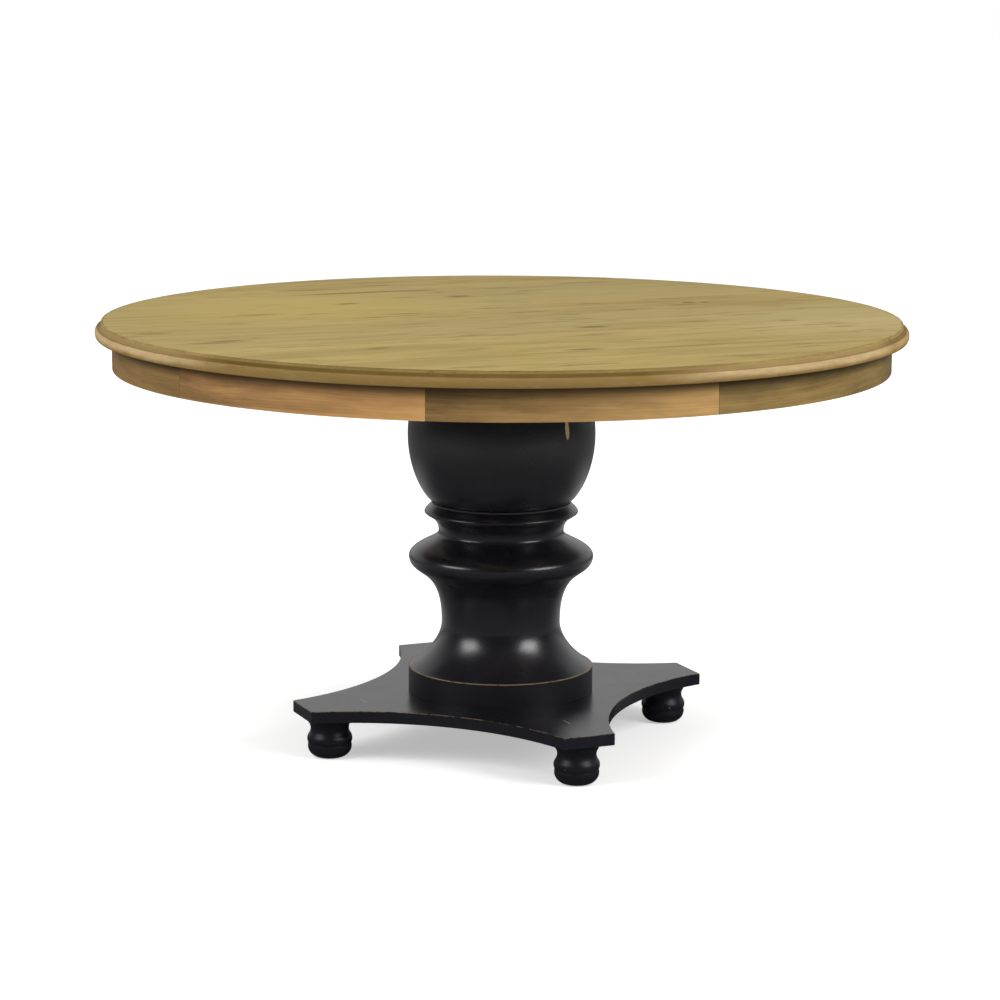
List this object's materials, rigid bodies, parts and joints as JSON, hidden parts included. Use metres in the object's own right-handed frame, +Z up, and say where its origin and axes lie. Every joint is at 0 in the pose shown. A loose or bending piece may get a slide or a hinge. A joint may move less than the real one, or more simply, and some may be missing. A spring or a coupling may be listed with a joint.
{
  "type": "round pedestal table",
  "caption": "Round dining table: moulded plank top with a segmented wood apron, on a black turned column over a four-cornered plate with bun feet.",
  "frame": {"origin": "on the floor under the middle of the round top", "axes": "+Z up; X along the boards of the top; the corners of the base plate point along X and Y"},
  "size_m": [1.422, 1.422, 0.762],
  "materials": {
    "tabletop_wood": "weathered tan planks under a low-sheen clear coat",
    "apron_wood": "brown stained wood, low sheen",
    "black_paint": "black satin paint on wood, rubbed through along the edges",
    "raw_wood": "bare planed wood",
    "zinc_steel": "zinc plated"
  },
  "bodies": {
    "root": {"apron_dowels": "raw_wood", "apron_screws": "zinc_steel", "apron_segment_1": "apron_wood", "apron_segment_2": "apron_wood", "apron_segment_3": "apron_wood", "apron_segment_4": "apron_wood", "apron_segment_5": "apron_wood", "apron_segment_6": "apron_wood", "apron_segment_7": "apron_wood", "apron_segment_8": "apron_wood", "apron_segment_9": "apron_wood", "base_plate": "black_paint", "bun_foot_1": "black_paint", "bun_foot_2": "black_paint", "bun_foot_3": "black_paint", "bun_foot_4": "black_paint", "cleat_inserts": "zinc_steel", "cleat_left": "raw_wood", "cleat_right": "raw_wood", "cleat_screws": "zinc_steel", "column_bulb": "black_paint", "column_lower_turning": "black_paint", "foot_studs": "zinc_steel", "head_plate": "raw_wood", "head_plate_bolts": "zinc_steel", "head_plate_screws": "zinc_steel", "head_plate_washers": "zinc_steel", "plinth_disc": "black_paint", "plinth_screws": "zinc_steel", "tie_rod": "zinc_steel", "tie_rod_nuts": "zinc_steel", "tie_rod_washers": "zinc_steel", "top_board_1": "tabletop_wood", "top_board_2": "tabletop_wood", "top_board_3": "tabletop_wood", "top_board_4": "tabletop_wood", "top_board_5": "tabletop_wood", "top_board_6": "tabletop_wood"}
  },
  "joints": []
}
